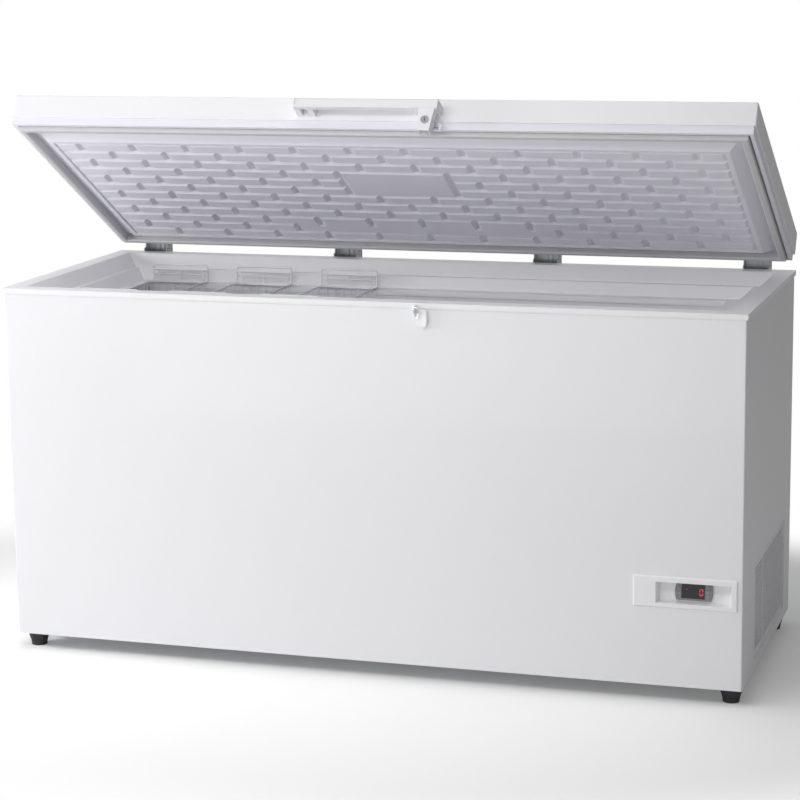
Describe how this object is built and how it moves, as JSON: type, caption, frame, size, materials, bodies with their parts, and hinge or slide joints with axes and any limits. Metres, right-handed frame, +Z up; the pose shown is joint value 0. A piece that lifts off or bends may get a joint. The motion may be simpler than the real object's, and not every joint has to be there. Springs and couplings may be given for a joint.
{
  "type": "low temperature chest freezer",
  "caption": "White chest freezer with a hinged insulated lid, brick-relief inner panel, lockable handle, lift-out wire baskets and a front control panel.",
  "frame": {"origin": "on the floor, under the middle of the whole footprint", "axes": "+X along the length to the machine compartment end, +Y to the back where the hinges are, +Z up"},
  "size_m": [1.61, 0.683, 1.2126],
  "materials": {
    "white_steel": "smooth white enamel",
    "galvanised_sheet": "galvanised",
    "black_rubber": "matt black",
    "bright_steel": "zinc plated",
    "white_plastic": "satin white",
    "liner_white": "white coated sheet",
    "copper_tube": "drawn copper",
    "foam": null,
    "grey_plastic": "fine grain grey",
    "window_dark": "dark clear lens",
    "digit_red": "lit red",
    "button_grey": "soft key",
    "vent_plastic": "satin white",
    "black_plastic": "matt black",
    "compressor_black": "black enamel",
    "fin_aluminium": "mill finish",
    "fan_plastic": "moulded black",
    "hinge_steel": "bright pressed steel",
    "spring_steel": "oiled spring wire",
    "basket_wire": "white dipped wire",
    "panel_plastic": "vacuum formed, satin",
    "gasket_white": "soft white vinyl",
    "handle_white": "satin white",
    "chrome_ring": "polished"
  },
  "bodies": {
    "cabinet": {"outer_cabinet": "white_steel", "rear_panel": "galvanised_sheet", "base_pan": "galvanised_sheet", "rubber_feet": "black_rubber", "foot_studs": "bright_steel", "breaker_frame": "white_plastic", "inner_liner": "liner_white", "evaporator_coil": "copper_tube", "cabinet_insulation": "foam", "machine_bulkhead": "galvanised_sheet", "control_bezel": "white_plastic", "thermostat_housing": "grey_plastic", "display_window": "window_dark", "display_digit": "digit_red", "side_vent_grille": "vent_plastic", "rear_vent_cover": "galvanised_sheet", "mains_gland": "black_plastic", "compressor": "compressor_black", "compressor_mounts": "black_rubber", "compressor_bolts": "bright_steel", "condenser": "fin_aluminium", "fan_shroud": "galvanised_sheet", "fan_motor": "black_plastic", "refrigerant_lines": "copper_tube", "filter_drier": "copper_tube", "hinge_bases": "hinge_steel", "hinge_pins": "bright_steel", "hinge_springs": "spring_steel", "cabinet_screws": "bright_steel", "catch_base": "white_plastic", "catch_keeper": "bright_steel"},
    "lid": {"lid_outer_shell": "white_steel", "lid_insulation": "foam", "lid_inner_panel": "panel_plastic", "lid_gasket": "gasket_white", "hinge_leaves": "hinge_steel", "lid_screws": "bright_steel", "handle_bar": "handle_white", "handle_bracket": "handle_white", "lock_housing": "handle_white", "lock_barrel": "chrome_ring"},
    "lock": {"lock_core": "chrome_ring", "lock_cam": "bright_steel"},
    "condenser_fan": {"fan_blade": "fan_plastic"},
    "basket_1_body": {"basket_1": "basket_wire"},
    "basket_2_body": {"basket_2": "basket_wire"},
    "basket_3_body": {"basket_3": "basket_wire"},
    "button_1": {"push_button_1": "button_grey"},
    "button_2": {"push_button_2": "button_grey"},
    "button_3": {"push_button_3": "button_grey"},
    "button_4": {"push_button_4": "button_grey"},
    "button_5": {"push_button_5": "button_grey"}
  },
  "joints": [
    {"name": "lid_hinge", "type": "hinge", "parent": "cabinet", "child": "lid", "pos_m": [0, 0.3295, 0.854], "axis": [-1, 0, 0], "range_deg": [-30.46, 49.5]},
    {"name": "lock_turn", "type": "hinge", "parent": "lid", "child": "lock", "pos_m": [0.139, -0.29142, 1.17392], "axis": [0, 0.862, -0.5069], "range_deg": [0, 90]},
    {"name": "fan_spin", "type": "hinge", "parent": "cabinet", "child": "condenser_fan", "pos_m": [0.666, -0.028, 0.122], "axis": [1, 0, 0], "continuous": true},
    {"name": "basket_1_lift", "type": "slide", "parent": "cabinet", "child": "basket_1_body", "axis": [0, 0, 1], "range_m": [0, 0.075]},
    {"name": "basket_2_lift", "type": "slide", "parent": "cabinet", "child": "basket_2_body", "axis": [0, 0, 1], "range_m": [0, 0.075]},
    {"name": "basket_3_lift", "type": "slide", "parent": "cabinet", "child": "basket_3_body", "axis": [0, 0, 1], "range_m": [0, 0.075]},
    {"name": "button_1_press", "type": "slide", "parent": "cabinet", "child": "button_1", "axis": [0, 0.9703, -0.2419], "range_m": [0, 0.0006], "stiffness_N_per_m": 400},
    {"name": "button_2_press", "type": "slide", "parent": "cabinet", "child": "button_2", "axis": [0, 0.9703, -0.2419], "range_m": [0, 0.0006], "stiffness_N_per_m": 400},
    {"name": "button_3_press", "type": "slide", "parent": "cabinet", "child": "button_3", "axis": [0, 0.9703, -0.2419], "range_m": [0, 0.0006], "stiffness_N_per_m": 400},
    {"name": "button_4_press", "type": "slide", "parent": "cabinet", "child": "button_4", "axis": [0, 0.9703, -0.2419], "range_m": [0, 0.0006], "stiffness_N_per_m": 400},
    {"name": "button_5_press", "type": "slide", "parent": "cabinet", "child": "button_5", "axis": [0, 0.9703, -0.2419], "range_m": [0, 0.0006], "stiffness_N_per_m": 400}
  ]
}
